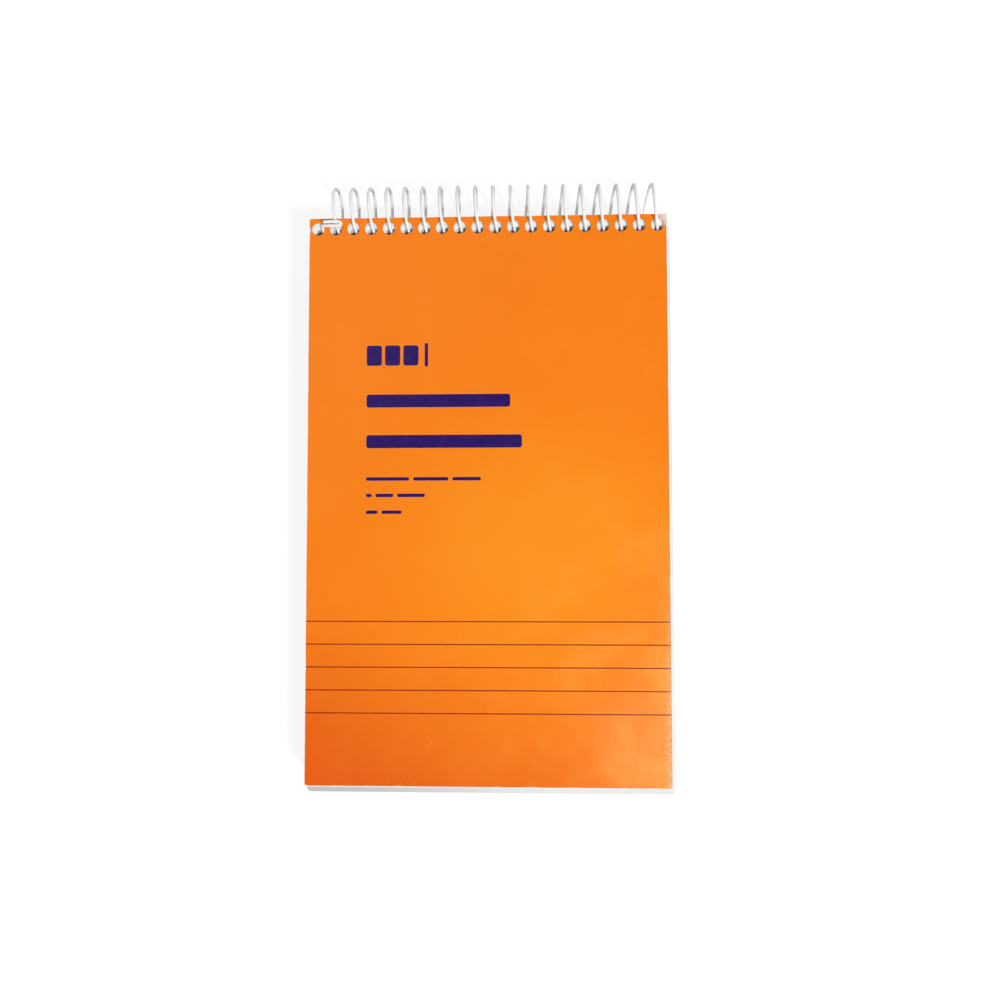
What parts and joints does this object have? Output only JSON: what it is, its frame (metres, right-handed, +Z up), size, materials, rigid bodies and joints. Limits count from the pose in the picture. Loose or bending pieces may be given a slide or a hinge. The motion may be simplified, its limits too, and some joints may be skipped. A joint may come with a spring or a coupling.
{
  "type": "reporter notebook",
  "caption": "Top-bound pocket notebook: two card covers and a thick paper block on one spiral wire, with covers that turn over about the coil.",
  "frame": {"origin": "under the middle of the closed notebook, level with the lowest point of the coil", "axes": "+X along the coil to the reader's right, +Y towards the coil, +Z up through the front cover"},
  "size_m": [0.1318, 0.2188, 0.0219],
  "materials": {
    "cover_card": "glossy printed orange on white card",
    "paper": "matt white paper",
    "back_card": "matt pale grey card",
    "coated_wire": "white plastic-coated wire, satin"
  },
  "bodies": {
    "book": {"page_block": "paper", "spiral_coil": "coated_wire"},
    "front_cover": {"front_cover": "cover_card"},
    "back_cover": {"back_cover": "back_card"}
  },
  "joints": [
    {"name": "front_cover_hinge", "type": "hinge", "parent": "book", "child": "front_cover", "pos_m": [0, 0.09845, 0.01095], "axis": [-1, 0, 0], "range_deg": [0, 178]},
    {"name": "back_cover_hinge", "type": "hinge", "parent": "book", "child": "back_cover", "pos_m": [0, 0.09845, 0.01095], "axis": [1, 0, 0], "range_deg": [0, 178]}
  ]
}
